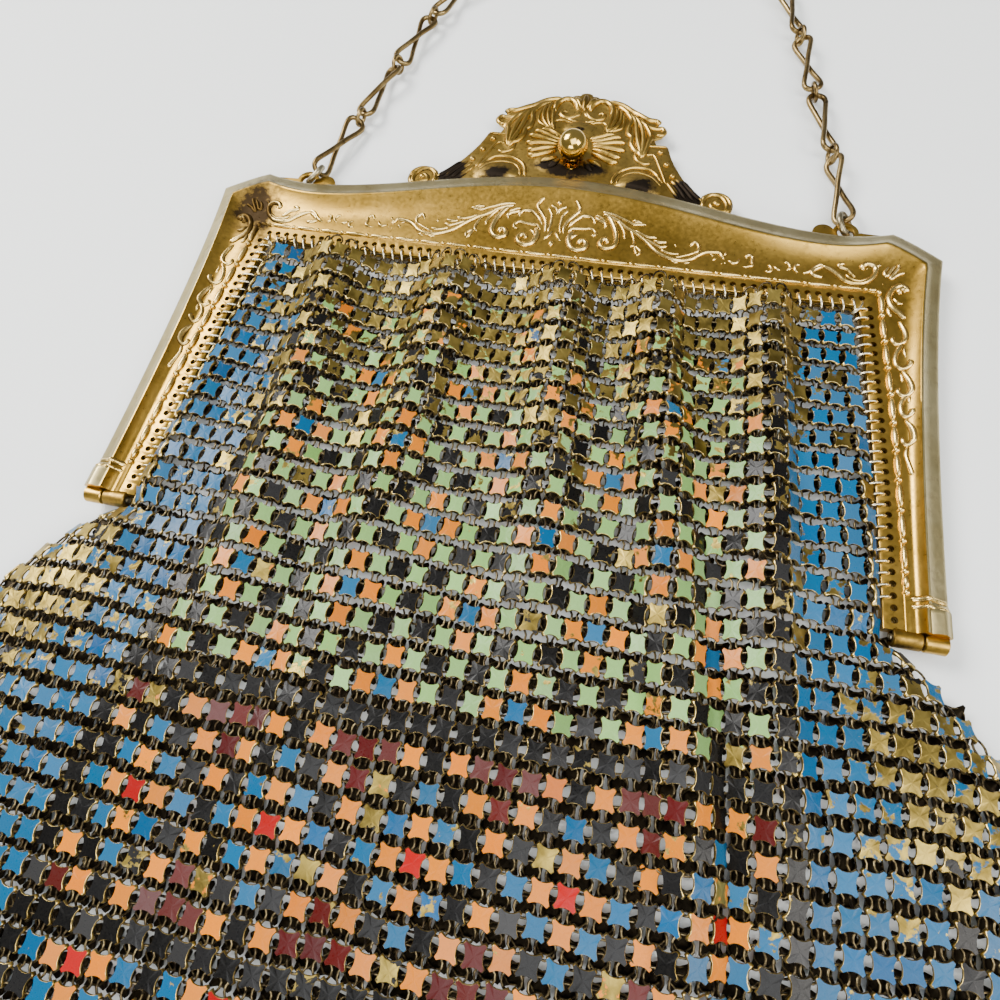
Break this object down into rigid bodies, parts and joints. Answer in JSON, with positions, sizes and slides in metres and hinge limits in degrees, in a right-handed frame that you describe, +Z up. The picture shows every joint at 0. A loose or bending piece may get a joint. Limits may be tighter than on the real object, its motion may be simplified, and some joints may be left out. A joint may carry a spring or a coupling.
{
  "type": "metal mesh purse",
  "caption": "Lying mesh purse with a hinged stamped frame, a crest with a ball clasp, a chain of twisted links, and a flared hollow pouch of enamelled metal plates.",
  "frame": {"origin": "centre of the bounding box in plan, on the surface that the purse lies on", "axes": "+X from the left foot of the frame to the right one, +Y from the bottom of the pouch to the top of the chain, +Z up, out of the front of the purse"},
  "size_m": [0.173, 0.2764, 0.0088],
  "materials": {
    "frame_brass": "gilt stamped brass, satin with polished ridges and dark stains",
    "crest_brass": "stamped brass, worn gilding with dark patina in its hollows",
    "ball_brass": "polished",
    "grey_metal": "dull, with worn plating",
    "chain_bronze": "brown patina, satin",
    "enamelled_mesh": "glossy enamel in several colours on brass plates, chipped and worn"
  },
  "bodies": {
    "purse": {"front_frame": "frame_brass", "back_frame": "frame_brass", "crest_plate": "crest_brass", "hinge_pin_left": "grey_metal", "hinge_pin_right": "grey_metal", "jump_ring_left": "grey_metal", "jump_ring_right": "grey_metal", "chain": "chain_bronze", "mesh_bag": "enamelled_mesh"},
    "knob": {"clasp_knob": "ball_brass"}
  },
  "joints": [
    {"name": "clasp_slide", "type": "slide", "parent": "purse", "child": "knob", "axis": [0, -1, 0], "range_m": [0, 0.002], "stiffness_N_per_m": 150, "springref_m": -0.001}
  ]
}
